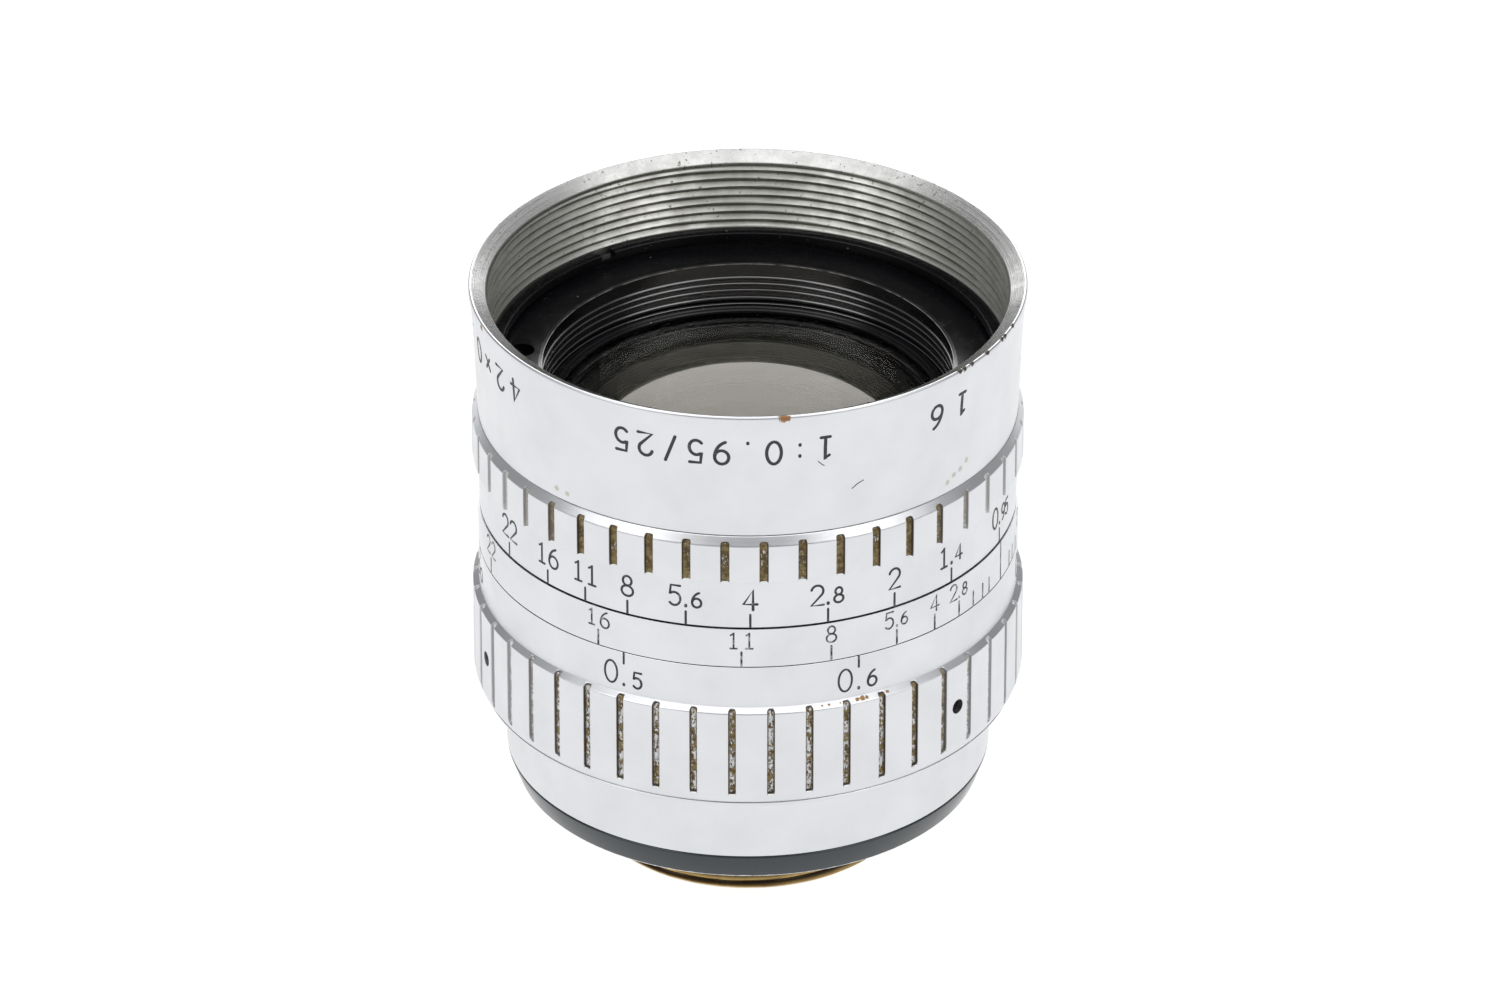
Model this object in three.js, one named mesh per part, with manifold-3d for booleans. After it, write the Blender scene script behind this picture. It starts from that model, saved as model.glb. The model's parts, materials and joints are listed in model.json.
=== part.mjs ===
// A 25 mm f/0.95 prime lens with a 1 inch C-mount thread, for 16 mm film cameras.
// Millimetres, +Z towards the subject, origin on the optical axis at the end of the mount thread.
// The lens stands on its mount thread. It is focused at 0.73 m and its iris is fully open.
//
// Fixed to the camera: the mount and the rear barrel.
// The head slides in the rear barrel. The focus ring turns on the head and drives it in and out.
// The aperture ring turns on the head and works the ten iris blades.

import * as THREE from "three";
import { mergeVertices } from "three/addons/utils/BufferGeometryUtils.js";
import Module from "manifold-3d";

const wasm = await Module();
wasm.setup();

const DEG = Math.PI / 180;

// ---- driving dimensions ----
const GAP = 0.3; // between pieces that would touch
const FIT = 0.2; // radial clearance of a sliding or turning fit

// Mount
const MOUNT_R = 12.7; // C-mount thread, 1 inch across its crests
const MOUNT_BORE_R = 11.45;
const FLANGE_Z = 5.07; // the face that seats on the camera
const FLANGE_R = 18.75;
const FLANGE_TOP_Z = 7.35;
const FLANGE_TOP_R = 19.55;

// Outside of the barrel, from the mount to the front
const REAR_R = 19.55;
const FOCUS_LOW_Z = 13.4;
const FOCUS_KNURL_LOW_Z = 15.0;
const FOCUS_KNURL_TOP_Z = 22.2;
const FOCUS_TOP_Z = 26.12;
const FOCUS_KNURL_R = 22.1;
const SCALE_R = 21.6; // focus scale, depth scale and aperture scale
const DEPTH_TOP_Z = 29.65;
const APERTURE_KNURL_LOW_Z = 34.1;
const APERTURE_KNURL_TOP_Z = 37.4;
const APERTURE_TOP_Z = 38.05;
const APERTURE_KNURL_R = 22.0;
const RIM_Z = 49.06;
const RIM_R = 22.15;
const WAIST_R = 21.65; // the front barrel behind its flared rim

// Filter thread, 42 mm by 0.75 mm
const FILTER_R = 20.6; // across its crests
const FILTER_LOW_Z = 42.56;

// Helicoid's thread, and the key that keeps the head from turning
const HELICOID_R = 17.4;
const KEY_ANGLE = -60 * DEG;
const KEY_Z = 16.5;

// Inner barrel that carries everything that slides
const HEAD_LOW_Z = 11.6;
const HEAD_LOW_R = 15.6;
const HEAD_R = 19.0;
const HEAD_WEB_Z = 21.8;
const HEAD_TOP_Z = 39.8;
const HEAD_WALL = 1.6;

// Cells that hold the glass
const CELL_R = 17.1;
const CELL_FACE_Z = 41.5;
const CELL_HOLE_R = 16.3;
const CELL_SEAT_Z = 37.5; // where the front bore meets the front element's seat
const REAR_CELL_R = 13.9;
const REAR_TUBE_R = 11.15;
const REAR_TUBE_Z = 2.0;

// Knurls
const FOCUS_FLUTES = 45;
const APERTURE_FLUTES = 45;
const FLUTE_WIDTH = 0.74;
const FLUTE_DEPTH = 0.4;
const SEGMENTS = 40; // sides of a round part outside
const INNER_SEGMENTS = 30; // and inside
const ELEMENT_SEGMENTS = 24;

// Screws
const GRUB_COUNT = 3;
const GRUB_ANGLE = -41.1 * DEG;
const GRUB_Z = 18.4;
const GRUB_R = 0.55;

// Iris
const BLADES = 10;
const BLADE_INNER_R = 9.6; // the open aperture
const BLADE_OUTER_R = 13.6;
const PIVOT_CIRCLE_R = 15.6;
const BLADE_SWEEP = 104 * DEG;
const BLADE_THICK = 0.09;
const BLADE_PITCH = 0.15; // from one blade's layer to the next
const BLADE_LOW_Z = 23.6;
const BLADE_CLOSE = 33 * DEG; // a blade's swing from open to f/22
const CAM_TURN = 30 * DEG; // the cam ring's turn over the same range
const DRIVE_ARM = 2.2; // from a blade's pivot to its drive pin
const DRIVE_ANGLE = -110 * DEG;
const PIN_R = 0.35;
const PIN_CLEARANCE = 0.17;
const BASE_Z = 23.05;
const CAM_Z = 25.2;
const CAM_TOP_Z = 25.6;

// Aperture ring's drive screw
const APERTURE_THROW = 129.5 * DEG;
const DRIVE_SCREW_ANGLE = 100 * DEG;
const DRIVE_SCREW_Z = 32;

// ---- materials ----
const metal = (color, roughness) =>
  new THREE.MeshStandardMaterial({ color, roughness, metalness: 1 });
const satinAluminium = metal(0xd6d7da, 0.32);
const brass = metal(0xa8823c, 0.35);
const steel = metal(0x8d8f92, 0.3);
const blackSteel = metal(0x2a2b2e, 0.4);
const blackAnodised = new THREE.MeshStandardMaterial({ color: 0x141416, roughness: 0.45 });
const blackEnamel = new THREE.MeshStandardMaterial({ color: 0x2b3136, roughness: 0.25 });
const glass = new THREE.MeshStandardMaterial({
  color: 0xdfe6ea,
  roughness: 0.02,
  transparent: true,
  opacity: 0.35,
});

// ---- helpers ----
const point = (x, y) => new THREE.Vector2(x, y);
const polar = (r, angle) => point(r * Math.cos(angle), r * Math.sin(angle));

// A solid of revolution about Z. The profile is a closed loop of [radius, z], anticlockwise in
// the half plane, and a vertex of the round lies at the phase angle.
function turned(profile, segments = SEGMENTS, phase = 0) {
  const loop = profile.map(([r, z]) => point(r, z));
  loop.push(loop[0].clone());
  const geometry = new THREE.LatheGeometry(loop, segments);
  return geometry.rotateX(Math.PI / 2).rotateZ(phase + Math.PI / 2);
}

function tube(outer, inner, low, high, segments = SEGMENTS) {
  return turned([[inner, low], [outer, low], [outer, high], [inner, high]], segments);
}

function cylinder(radius, low, high, sides = 8) {
  const geometry = new THREE.CylinderGeometry(radius, radius, high - low, sides);
  return geometry.rotateX(Math.PI / 2).translate(0, 0, (low + high) / 2);
}

// A round bar along the radius, from one distance from the axis to another.
function radialBar(radius, from, to, angle, z, sides = 10) {
  const geometry = new THREE.CylinderGeometry(radius, radius, to - from, sides);
  return geometry.rotateZ(Math.PI / 2).translate((from + to) / 2, 0, z).rotateZ(angle);
}

function toSolid(geometry) {
  const bare = geometry.index ? geometry.toNonIndexed() : geometry.clone();
  bare.deleteAttribute("normal");
  bare.deleteAttribute("uv");
  const merged = mergeVertices(bare, 1e-4);
  return new wasm.Manifold(
    new wasm.Mesh({
      numProp: 3,
      vertProperties: merged.attributes.position.array,
      triVerts: new Uint32Array(merged.index.array),
    }),
  );
}

function toGeometry(solid) {
  const { vertProperties, triVerts } = solid.getMesh();
  const geometry = new THREE.BufferGeometry();
  geometry.setAttribute("position", new THREE.BufferAttribute(vertProperties, 3));
  return geometry.setIndex(new THREE.BufferAttribute(triVerts, 1));
}

const cut = (geometry, cutters) =>
  toGeometry(cutters.reduce((left, c) => left.subtract(toSolid(c)), toSolid(geometry)));
const join = (geometries) =>
  toGeometry(geometries.map(toSolid).reduce((whole, piece) => whole.add(piece)));

// Straight flutes round a knurled ring, open at the top.
function flutes(count, radius, low, high, phase) {
  return Array.from({ length: count }, (_, i) =>
    new THREE.BoxGeometry(2 * FLUTE_DEPTH, FLUTE_WIDTH, high - low)
      .translate(radius, 0, (low + high) / 2)
      .rotateZ(phase + (i * 2 * Math.PI) / count),
  );
}

// A part of an annulus, as cutter or piece, from one angle to another.
function arcBlock(inner, outer, low, high, from, to, steps) {
  const shape = new THREE.Shape([
    ...arc(inner, from, to, steps),
    ...arc(outer, to, from, steps),
  ]);
  return plate(shape, low, high);
}

function arc(radius, from, to, steps) {
  return Array.from({ length: steps + 1 }, (_, i) =>
    polar(radius, from + ((to - from) * i) / steps),
  );
}

function plate(shape, low, high) {
  const geometry = new THREE.ExtrudeGeometry(shape, {
    depth: high - low,
    bevelEnabled: false,
    curveSegments: 3,
  });
  return geometry.translate(0, 0, low);
}

// A spherical surface's profile, from the axis to its edge or back. Positive bulge is towards +Z.
function sphereCurve(edgeR, edgeZ, bulge, inwards) {
  const steps = 3;
  const radius = (edgeR * edgeR + bulge * bulge) / (2 * Math.abs(bulge));
  const points = Array.from({ length: steps + 1 }, (_, i) => {
    const r = (edgeR * i) / steps;
    const sag = radius - Math.sqrt(radius * radius - r * r);
    return [r, edgeZ + bulge - Math.sign(bulge) * sag];
  });
  return inwards ? points.reverse() : points;
}

// A lens element: its rear and front surfaces, each by its edge height and its bulge at the centre.
function element(radius, rearZ, rearBulge, frontZ, frontBulge) {
  const flat = (z) => [[0, z], [radius, z]];
  const rear = rearBulge ? sphereCurve(radius, rearZ, rearBulge) : flat(rearZ);
  const front = frontBulge
    ? sphereCurve(radius, frontZ, frontBulge, true)
    : flat(frontZ).reverse();
  return turned([...rear, ...front], ELEMENT_SEGMENTS);
}

const lens = new THREE.Group();

function add(name, geometry, material, parent = lens) {
  const mesh = new THREE.Mesh(geometry, material);
  mesh.name = name;
  parent.add(mesh);
  return mesh;
}

// ---- mount, fixed to the camera ----
function buildMount() {
  const shoulderR = 15.5;
  const shoulderZ = FLANGE_TOP_Z + GAP;
  const shoulderTopZ = shoulderZ + 1;
  const flangeBoreR = MOUNT_R + 0.35;
  const screwR = 0.6;
  const screwHeadR = 1.15;
  const screwHeadTopZ = FLANGE_Z + 1.1;
  const screwPlaces = [30, 150, 270].map((angle) => polar(17.0, angle * DEG));
  add(
    "c_mount_thread",
    turned([
      [MOUNT_BORE_R, 0],
      [MOUNT_R - 0.3, 0],
      [MOUNT_R, 0.3],
      [MOUNT_R, shoulderZ],
      [shoulderR, shoulderZ],
      [shoulderR, shoulderTopZ],
      [MOUNT_BORE_R, shoulderTopZ],
    ]),
    brass,
  );
  add(
    "mount_flange",
    cut(
      turned([
        [flangeBoreR, FLANGE_Z],
        [FLANGE_R - 0.15, FLANGE_Z],
        [FLANGE_R, FLANGE_Z + 0.2],
        [FLANGE_TOP_R, FLANGE_TOP_Z],
        [flangeBoreR, FLANGE_TOP_Z],
      ]),
      screwPlaces.flatMap(({ x, y }) => [
        cylinder(screwHeadR + GAP, FLANGE_Z - 1, screwHeadTopZ + GAP).translate(x, y, 0),
        cylinder(screwR + GAP, FLANGE_Z, FLANGE_TOP_Z + 1).translate(x, y, 0),
      ]),
    ),
    blackEnamel,
  );

  // The barrel: a skirt that the focus ring slides over, and the helicoid's male thread.
  const floorZ = shoulderTopZ + GAP;
  const wellR = 15.9;
  const threadTopZ = 18.3;
  const skirtTopZ = 14.6;
  const screwTopZ = floorZ + 2;
  const holes = screwPlaces.map(({ x, y }) =>
    cylinder(screwR + GAP, FLANGE_TOP_Z, screwTopZ + GAP).translate(x, y, 0),
  );
  holes.push(radialBar(0.9, wellR - 1, HELICOID_R + 1, KEY_ANGLE, KEY_Z));
  add(
    "rear_barrel",
    cut(
      turned([
        [shoulderR + GAP, shoulderZ],
        [REAR_R, shoulderZ],
        [REAR_R, skirtTopZ],
        [HELICOID_R, skirtTopZ],
        [HELICOID_R, threadTopZ],
        [wellR, threadTopZ],
        [wellR, floorZ + 1.2],
        [14.9, floorZ + 1.2],
        [14.9, floorZ],
        [shoulderR + GAP, floorZ],
      ]),
      holes,
    ),
    satinAluminium,
  );
  screwPlaces.forEach(({ x, y }, i) => {
    const head = cylinder(screwHeadR, FLANGE_Z + 0.1, screwHeadTopZ);
    const shank = cylinder(screwR, FLANGE_Z + 0.5, screwTopZ);
    add(`mount_screw_${i + 1}`, join([head, shank]).translate(x, y, 0), steel);
  });
  // The key stands in a slot of the head and keeps the head from turning.
  const key = radialBar(0.65, HEAD_LOW_R - 0.9, HELICOID_R - 0.1, KEY_ANGLE, KEY_Z);
  add("guide_key", key, steel);
}

// ---- focus ring, turning on the head ----
function buildFocus() {
  const boreR = REAR_R + FIT;
  const lipR = HEAD_R + GAP;
  const lipZ = 25.1;
  const phase = -Math.PI / 2 - 3.26 * DEG;
  const holes = [];
  for (let i = 0; i < GRUB_COUNT; i++) {
    const angle = GRUB_ANGLE + (i * 2 * Math.PI) / GRUB_COUNT;
    holes.push(radialBar(GRUB_R + 0.15, boreR - 1, FOCUS_KNURL_R + 1, angle, GRUB_Z));
  }
  add(
    "focus_ring",
    cut(
      turned(
        [
          [boreR, FOCUS_LOW_Z],
          [21.5, FOCUS_LOW_Z],
          [FOCUS_KNURL_R, FOCUS_KNURL_LOW_Z],
          [FOCUS_KNURL_R, FOCUS_KNURL_TOP_Z],
          [SCALE_R, FOCUS_KNURL_TOP_Z + 0.35],
          [SCALE_R, FOCUS_TOP_Z],
          [lipR, FOCUS_TOP_Z],
          [lipR, lipZ],
          [boreR, lipZ],
        ],
        FOCUS_FLUTES,
        phase,
      ),
      [
        ...flutes(FOCUS_FLUTES, FOCUS_KNURL_R, FOCUS_KNURL_LOW_Z, FOCUS_KNURL_TOP_Z + 1, phase),
        ...holes,
      ],
    ),
    satinAluminium,
  );

  // The helicoid's nut: it turns with the ring on the rear barrel's thread.
  const nutR = boreR - GAP;
  const nutBoreR = HELICOID_R + FIT;
  const lipLowZ = 20.5;
  const lipHighZ = 21.5;
  add(
    "focus_helicoid",
    turned([
      [nutBoreR, 15.8],
      [nutR, 15.8],
      [nutR, lipHighZ],
      [HEAD_LOW_R + 0.6, lipHighZ],
      [HEAD_LOW_R + 0.6, lipLowZ],
      [nutBoreR, lipLowZ],
    ]),
    brass,
  );
  for (let i = 0; i < GRUB_COUNT; i++) {
    const angle = GRUB_ANGLE + (i * 2 * Math.PI) / GRUB_COUNT;
    add(
      `focus_grub_screw_${i + 1}`,
      radialBar(GRUB_R, nutR + 0.2, FOCUS_KNURL_R - 0.75, angle, GRUB_Z),
      blackSteel,
    );
  }
}

// ---- head: barrel, scale ring and front shell ----
function buildHead() {
  const innerLowR = HEAD_LOW_R - 1.4;
  const innerR = HEAD_R - HEAD_WALL;
  const webTopZ = HEAD_WEB_Z + 1.1;
  const keySlot = new THREE.BoxGeometry(4, 1.9, 5).translate(HEAD_LOW_R, 0, KEY_Z);
  const screwSlot = arcBlock(
    HEAD_R - 3,
    HEAD_R + 1,
    DRIVE_SCREW_Z - 1,
    DRIVE_SCREW_Z + 1,
    DRIVE_SCREW_ANGLE - 4 * DEG,
    DRIVE_SCREW_ANGLE + APERTURE_THROW + 4 * DEG,
    12,
  );
  add(
    "head_barrel",
    cut(
      turned([
        [innerLowR, HEAD_LOW_Z],
        [HEAD_LOW_R, HEAD_LOW_Z],
        [HEAD_LOW_R, HEAD_WEB_Z],
        [HEAD_R, HEAD_WEB_Z],
        [HEAD_R, HEAD_TOP_Z],
        [innerR, HEAD_TOP_Z],
        [innerR, webTopZ],
        [innerLowR, webTopZ],
      ]),
      [keySlot.rotateZ(KEY_ANGLE), screwSlot],
    ),
    blackAnodised,
  );
  // Thrust ring: it holds the nut's lip against the head's web.
  const thrustRing = tube(HELICOID_R - FIT, HEAD_LOW_R + 0.15, 19.6, 20.2, INNER_SEGMENTS);
  add("focus_thrust_ring", thrustRing, brass);

  add(
    "depth_scale_ring",
    tube(SCALE_R, HEAD_R + GAP, FOCUS_TOP_Z + 0.18, DEPTH_TOP_Z),
    satinAluminium,
  );

  const flare = [
    [WAIST_R, 38.25],
    [21.7, 43],
    [21.82, 45.5],
    [21.97, 47.4],
    [RIM_R, 48.7],
    [RIM_R - 0.12, RIM_Z],
  ];
  add(
    "front_barrel",
    turned([
      ...flare,
      [RIM_R - 0.5, RIM_Z],
      [20.75, 48.41],
      [FILTER_R, 48.2],
      [FILTER_R, HEAD_TOP_Z + 0.05],
      [HEAD_R + GAP, HEAD_TOP_Z + 0.05],
      [HEAD_R + GAP, 38.25],
    ]),
    satinAluminium,
  );
  const lockRingR = FILTER_R - 0.25;
  const notches = [0, 1].map((i) =>
    new THREE.BoxGeometry(3, 1.3, 0.8)
      .translate(lockRingR, 0, FILTER_LOW_Z)
      .rotateZ(125 * DEG + i * Math.PI),
  );
  add(
    "front_lock_ring",
    cut(tube(lockRingR, 19.6, CELL_FACE_Z + 0.3, FILTER_LOW_Z, INNER_SEGMENTS), notches),
    blackAnodised,
  );
}

// ---- cells and glass ----
function buildOptics() {
  // Front cell, with two blind spanner holes in its face.
  const flangeR = FILTER_R - 0.25;
  const holes = [173, -7].map((angle) => {
    const { x, y } = polar(18.1, angle * DEG);
    return cylinder(1, CELL_FACE_Z - 0.8, CELL_FACE_Z + 1, 12).translate(x, y, 0);
  });
  const lowR = 15.5;
  add(
    "front_cell",
    cut(
      turned([
        [12.45, 25.9],
        [lowR, 25.9],
        [lowR, 34.4],
        [CELL_R, 34.4],
        [CELL_R, HEAD_TOP_Z + 0.35],
        [flangeR, HEAD_TOP_Z + 0.35],
        [flangeR, CELL_FACE_Z],
        [CELL_HOLE_R, CELL_FACE_Z],
        [CELL_HOLE_R, CELL_SEAT_Z],
        [15.95, CELL_SEAT_Z],
        [15.95, 34.95],
        [13.95, 34.95],
        [13.95, 30.9],
        [12.0, 30.9],
        [12.0, 29.65],
        [12.45, 29.65],
      ]),
      holes,
    ),
    blackAnodised,
  );
  add("front_element_retainer", tube(16.05, 15.2, 37.6, 38.0, INNER_SEGMENTS), blackAnodised);
  add("lens_1_front_element", element(15.75, 35.15, 0.65, 37.1, 3.4), glass);
  add("lens_2", element(13.75, 31.05, 0.65, 31.85, 3.3), glass);
  add("lens_3", element(12.25, 28.65, 0, 29.35, 1.95), glass);
  add("lens_4", element(12.25, 26.5, 1.15, 28.55, 0), glass);
  add("front_group_retainer", tube(12.3, 10.4, 26.0, 26.4, INNER_SEGMENTS), blackAnodised);

  // Rear cell, whose narrow tail slides in the mount.
  add(
    "rear_cell",
    turned([
      [10.45, REAR_TUBE_Z],
      [REAR_TUBE_R, REAR_TUBE_Z],
      [REAR_TUBE_R, 9.95],
      [REAR_CELL_R, 9.95],
      [REAR_CELL_R, 22.7],
      [11.25, 22.7],
      [11.25, 13.9],
      [9.9, 13.9],
      [9.9, 12.8],
      [10.45, 12.8],
    ]),
    blackAnodised,
  );
  add("rear_group_retainer", tube(11.15, 10.1, 20.6, 21.6, INNER_SEGMENTS), blackAnodised);
  add("lens_5", element(11.05, 17.0, 0, 20.4, -2.6), glass);
  add("lens_6", element(11.05, 14.6, -1.9, 16.9, 0), glass);
  add("lens_7", element(10.3, 10.3, -1.6, 11.4, 1.0), glass);
  add("rear_spacer", tube(10.35, 9.5, 6.6, 10.0, INNER_SEGMENTS), blackAnodised);
  add("lens_8_rear_element", element(10.3, 4.4, -0.5, 6.3, 1.1), glass);
  add("rear_retaining_ring", tube(10.35, 9.3, 2.4, 4.1, INNER_SEGMENTS), blackAnodised);
}

// ---- iris ----
// Where a blade's drive pin is, for the first blade, once it has swung by a share of its travel.
function drivePin(share) {
  const arm = polar(DRIVE_ARM, DRIVE_ANGLE + share * BLADE_CLOSE);
  return arm.add(point(PIVOT_CIRCLE_R, 0));
}

function circlePath(x, y, radius, sides) {
  const path = new THREE.Path();
  path.setFromPoints(
    Array.from({ length: sides }, (_, i) =>
      polar(radius, (-i * 2 * Math.PI) / sides).add(point(x, y)),
    ),
  );
  return path;
}

// The path that a drive pin draws on the turning cam ring, widened to a slot.
function camSlot(index) {
  const steps = 6;
  const half = PIN_R + PIN_CLEARANCE;
  const turnBy = (index * 2 * Math.PI) / BLADES;
  const line = Array.from({ length: steps + 1 }, (_, i) =>
    drivePin(i / steps).rotateAround(point(0, 0), turnBy - (i / steps) * CAM_TURN),
  );
  const ahead = (i) =>
    line[Math.min(i + 1, steps)].clone().sub(line[Math.max(i - 1, 0)]).normalize();
  const side = (i, sign) => {
    const t = ahead(i);
    const end = i === 0 ? -half : i === steps ? half : 0;
    return line[i]
      .clone()
      .add(point(-t.y, t.x).multiplyScalar(sign * half))
      .add(t.multiplyScalar(end));
  };
  const indices = line.map((_, i) => i);
  return new THREE.Path([
    ...indices.map((i) => side(i, 1)),
    ...indices.reverse().map((i) => side(i, -1)),
  ]);
}

function irisBlade(index) {
  const low = BLADE_LOW_Z + index * BLADE_PITCH;
  const high = low + BLADE_THICK;
  const neck = 8 * DEG;
  const eyeR = 1.0;
  const pivot = point(PIVOT_CIRCLE_R, 0);
  const drive = drivePin(0);
  const crescent = new THREE.Shape([
    ...arc(BLADE_INNER_R, 0, BLADE_SWEEP, 12),
    polar((BLADE_INNER_R + BLADE_OUTER_R) / 2, BLADE_SWEEP + 5 * DEG),
    ...arc(BLADE_OUTER_R, BLADE_SWEEP - 3 * DEG, neck, 12),
    point(PIVOT_CIRCLE_R, eyeR),
    point(PIVOT_CIRCLE_R + 0.7, 0.7),
    point(PIVOT_CIRCLE_R + eyeR, 0),
    point(PIVOT_CIRCLE_R + 0.6, -0.8),
    point(drive.x + 0.62, drive.y - 0.1),
    point(drive.x + 0.1, drive.y - 0.62),
    point(drive.x - 0.6, drive.y - 0.1),
    point(BLADE_OUTER_R + 0.2, -0.6),
  ]);
  return join([
    plate(crescent, low, high),
    cylinder(PIN_R, BASE_Z + 0.1, high).translate(pivot.x, pivot.y, 0),
    cylinder(PIN_R, low, CAM_TOP_Z - 0.05).translate(drive.x, drive.y, 0),
  ]);
}

function buildIris() {
  const step = (2 * Math.PI) / BLADES;
  const base = new THREE.Shape(arc(CELL_R, 0, 2 * Math.PI, 40).slice(0, -1));
  base.holes.push(circlePath(0, 0, 10.0, 40));
  for (let i = 0; i < BLADES; i++) {
    const { x, y } = polar(PIVOT_CIRCLE_R, i * step);
    base.holes.push(circlePath(x, y, PIN_R + PIN_CLEARANCE, 8));
  }
  add("iris_base", plate(base, BASE_Z, BASE_Z + 0.4), blackAnodised);

  const cam = new THREE.Shape(arc(CELL_R, 0, 2 * Math.PI, 40).slice(0, -1));
  cam.holes.push(circlePath(0, 0, 13.9, 40));
  for (let i = 0; i < BLADES; i++) cam.holes.push(camSlot(i));
  add("iris_cam_ring", plate(cam, CAM_Z, CAM_TOP_Z), blackSteel);

  for (let i = 0; i < BLADES; i++) {
    const place = new THREE.Group();
    place.rotation.z = i * step;
    lens.add(place);
    const name = `iris_blade_${String(i + 1).padStart(2, "0")}`;
    add(name, irisBlade(i), blackSteel, place);
  }
}

// ---- aperture ring, turning on the head ----
function buildAperture() {
  const phase = -Math.PI / 2 - 4.7 * DEG;
  const boreR = HEAD_R + GAP;
  const pocket = radialBar(1.0, boreR - 1, 20.9, DRIVE_SCREW_ANGLE, DRIVE_SCREW_Z);
  add(
    "aperture_ring",
    cut(
      turned(
        [
          [boreR, DEPTH_TOP_Z + 0.2],
          [SCALE_R - 0.1, DEPTH_TOP_Z + 0.2],
          [SCALE_R - 0.1, APERTURE_KNURL_LOW_Z],
          [APERTURE_KNURL_R, APERTURE_KNURL_LOW_Z],
          [APERTURE_KNURL_R, APERTURE_KNURL_TOP_Z],
          [WAIST_R - 0.05, APERTURE_TOP_Z],
          [boreR, APERTURE_TOP_Z],
        ],
        APERTURE_FLUTES,
        phase,
      ),
      [
        ...flutes(
          APERTURE_FLUTES,
          APERTURE_KNURL_R,
          APERTURE_KNURL_LOW_Z,
          APERTURE_TOP_Z + 1,
          phase,
        ),
        pocket,
      ],
    ),
    satinAluminium,
  );
  add(
    "aperture_drive_screw",
    radialBar(0.7, 16.3, 20.6, DRIVE_SCREW_ANGLE, DRIVE_SCREW_Z),
    steel,
  );
}

buildMount();
buildFocus();
buildHead();
buildOptics();
buildIris();
buildAperture();

export default lens;
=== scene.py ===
"""Looks for a 25 mm f/0.95 prime lens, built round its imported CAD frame.

Lengths are in millimetres until a mesh is made. A bearing is an angle round the lens in degrees,
from the side that faces the camera, and it grows anticlockwise seen from above.
"""

import json
import math

import bmesh
import bpy
import numpy as np
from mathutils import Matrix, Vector


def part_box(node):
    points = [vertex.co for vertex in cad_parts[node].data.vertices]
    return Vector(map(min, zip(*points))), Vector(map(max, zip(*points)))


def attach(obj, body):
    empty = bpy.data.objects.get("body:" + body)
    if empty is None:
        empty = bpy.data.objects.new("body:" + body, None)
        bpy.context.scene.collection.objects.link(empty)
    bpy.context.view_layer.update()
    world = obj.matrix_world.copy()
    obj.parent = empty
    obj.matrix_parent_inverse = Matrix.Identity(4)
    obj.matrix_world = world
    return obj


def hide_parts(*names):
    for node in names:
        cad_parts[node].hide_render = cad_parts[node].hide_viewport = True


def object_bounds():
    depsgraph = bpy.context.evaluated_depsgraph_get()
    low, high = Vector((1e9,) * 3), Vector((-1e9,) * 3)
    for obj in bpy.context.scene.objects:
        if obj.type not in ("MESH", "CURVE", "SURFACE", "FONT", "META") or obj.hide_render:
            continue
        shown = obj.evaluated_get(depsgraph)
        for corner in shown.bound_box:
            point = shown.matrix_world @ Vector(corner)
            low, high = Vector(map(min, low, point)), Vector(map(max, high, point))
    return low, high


MM = 0.001
ROUND = 256  # sides of a smooth round piece

# Heights and radii of what shows outside
FOCUS_LOW = 13.4
FOCUS_KNURL = (15.0, 22.2, 22.1)  # lowest, highest, radius
APERTURE_KNURL = (34.1, 37.4, 22.0)
FLUTES = 45  # round each knurl
FLUTE_WIDTH = 0.72
FLUTE_DEPTH = 0.42
FOCUS_FLUTE_WIDTH = 0.62
FIRST_APERTURE_FLUTE = -4.7  # bearing
FIRST_FOCUS_FLUTE = -3.26  # bearing
SCALE_RADIUS = 21.6
APERTURE_SCALE_RADIUS = 21.5
FOCUS_TOP = 26.2
DEPTH_TOP = 29.69
FLARE = [(21.52, 38.16), (21.66, 41.0), (21.72, 43.0), (21.82, 45.5), (21.97, 47.4), (22.15, 48.62)]
RIM_TOP = 49.06
FILTER_CREST = 20.6
FILTER_PITCH = 0.75
MOUNT_CREST = 12.7
MOUNT_PITCH = 25.4 / 32
SCREW_CIRCLE = 17.0  # radius on which the mount screws stand
SET_SCREW_BEARINGS = (48.9, 168.9, -71.1)
SET_SCREW_HEIGHT = 18.4
MOUNT_SCREW_BEARINGS = (120, 240, 0)

# Scales: what is written, and its bearing
APERTURE_MARKS = {
    "22": -61.4, "16": -47.2, "11": -36.5, "8": -26.1, "5.6": -13.1,
    "4": 0.5, "2.8": 17.0, "2": 32.4, "1.4": 48.3, "0.95": 68.1,
}
INDEX_BEARING = 68.4
DEPTH_PER_STOP = 6.34  # degrees each side of the index, for each f-number
FOCUS_PER_METRE = 152.2  # degrees back from infinity, times the distance in metres
INFINITY_BEARING = 277.5
DISTANCES = ("0.5", "0.6", "0.8", "1", "1.5", "2", "3", "5")

# Refractive indices. A coating is shown as a lower one, which mirrors less.
BARE_GLASS = 1.72
COATED_GLASS = 1.16

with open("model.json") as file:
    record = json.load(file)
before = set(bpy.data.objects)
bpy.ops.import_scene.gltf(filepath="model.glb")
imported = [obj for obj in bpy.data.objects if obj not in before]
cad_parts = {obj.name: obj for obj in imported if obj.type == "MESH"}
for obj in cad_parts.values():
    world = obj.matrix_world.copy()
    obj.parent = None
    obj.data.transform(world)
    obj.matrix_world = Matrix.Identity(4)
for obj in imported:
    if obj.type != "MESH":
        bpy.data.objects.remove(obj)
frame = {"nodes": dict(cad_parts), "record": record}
cad_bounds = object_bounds()
nodes = frame["nodes"]


# ---------------------------------------------------------------- meshes


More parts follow.
